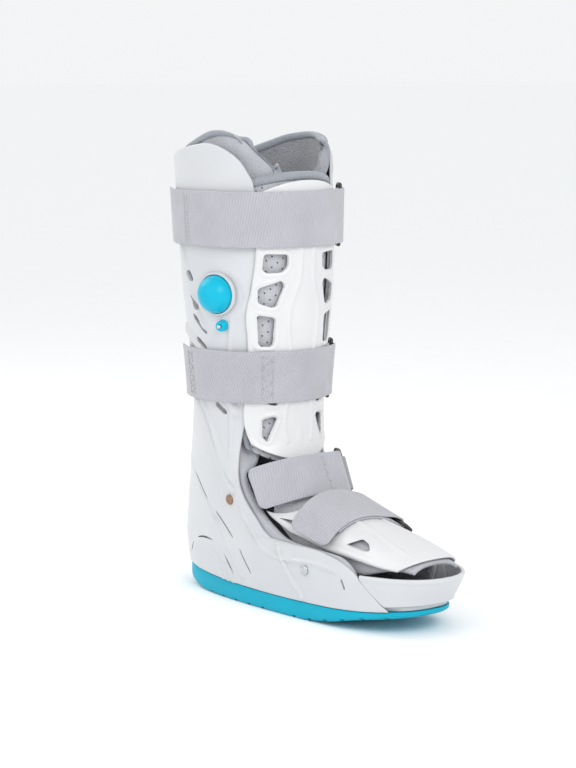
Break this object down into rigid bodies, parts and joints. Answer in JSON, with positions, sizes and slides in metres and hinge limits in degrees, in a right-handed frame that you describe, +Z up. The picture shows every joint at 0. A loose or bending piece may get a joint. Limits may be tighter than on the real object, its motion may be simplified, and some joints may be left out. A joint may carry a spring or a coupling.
{
  "type": "medical walking boot",
  "caption": "Tall medical walking boot with a vented hard shell, padded liners, hook and loop straps, an air pump bulb and a rocker sole.",
  "frame": {"origin": "on the floor under the middle of the boot's length, on the flat stretch of the sole", "axes": "+X towards the toe, +Y away from the side with the pump, +Z up"},
  "size_m": [0.3426, 0.1591, 0.438],
  "materials": {
    "shell": "satin moulded white",
    "panel": "satin moulded white",
    "sole": "matt teal rubber",
    "pump": "smooth teal rubber",
    "liner": "brushed grey fabric on foam",
    "insole": "grey fabric on foam",
    "strap": "woven hook and loop webbing",
    "ring": "dark painted wire",
    "rivet": "bronze rivet",
    "steel": "bright steel"
  },
  "bodies": {
    "root": {"outsole": "sole", "foot_plate": "shell", "rear_shell": "shell", "toe_guard": "shell", "front_panel": "panel", "instep_panel": "panel", "calf_liner": "liner", "tongue_liner": "liner", "foot_liner": "liner", "insole": "insole", "strap_top": "strap", "ring_top": "ring", "keeper_top": "strap", "strap_calf": "strap", "ring_calf": "ring", "keeper_calf": "strap", "strap_ankle": "strap", "ring_ankle": "ring", "keeper_ankle": "strap", "strap_forefoot": "strap", "ring_forefoot": "ring", "keeper_forefoot": "strap", "bulb_collar": "shell", "pump_bulb": "pump", "valve_body": "pump", "valve_stem": "steel", "rivet_ankle_near": "rivet", "rivet_ankle_far": "rivet", "rivet_toe_near": "rivet", "rivet_toe_far": "rivet"}
  },
  "joints": []
}
